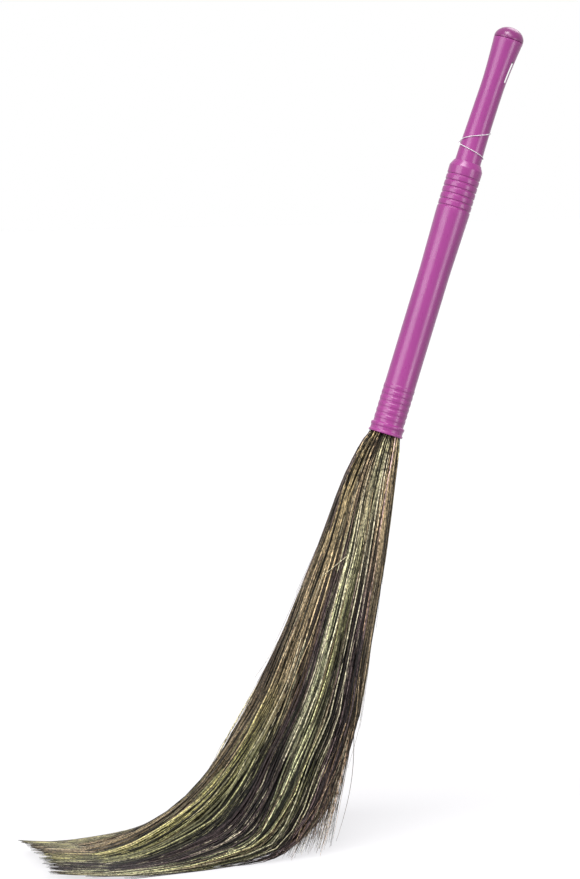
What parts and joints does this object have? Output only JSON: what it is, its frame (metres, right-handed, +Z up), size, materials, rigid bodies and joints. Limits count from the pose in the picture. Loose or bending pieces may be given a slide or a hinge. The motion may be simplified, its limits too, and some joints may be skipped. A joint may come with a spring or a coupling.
{
  "type": "grass broom",
  "caption": "Long household grass broom with a moulded two-part plastic handle, standing on a full grass head that fans out and sweeps to one side on the floor.",
  "frame": {"origin": "the point of the floor under the middle of the broom's bounding box", "axes": "+Z is up from the floor, the handle leans towards +X and the grass sweeps towards -X"},
  "size_m": [0.5708, 0.1986, 0.8898],
  "materials": {
    "handle_plastic": "satin moulded magenta plastic",
    "cap_plastic": "satin moulded darker magenta plastic",
    "thread": "twisted white thread",
    "tie_wire": "galvanised binding wire",
    "wedge_wood": "raw cut wood",
    "grass_olive": "dried grass stalks, olive green",
    "grass_tan": "dried grass stalks, tan",
    "grass_dark": "dried grass stalks, dark purple brown",
    "grass_green": "dried grass stalks, light green"
  },
  "bodies": {
    "root": {"socket_sleeve": "handle_plastic", "grip_tube": "handle_plastic", "end_cap": "cap_plastic", "grip_thread": "thread", "tie_wire_lower": "tie_wire", "tie_wire_upper": "tie_wire", "stalk_wedge": "wedge_wood", "grass_hank_front_outer": "grass_olive", "grass_hank_front_inner": "grass_tan", "grass_hank_back_inner": "grass_dark", "grass_hank_back_outer": "grass_green"}
  },
  "joints": []
}
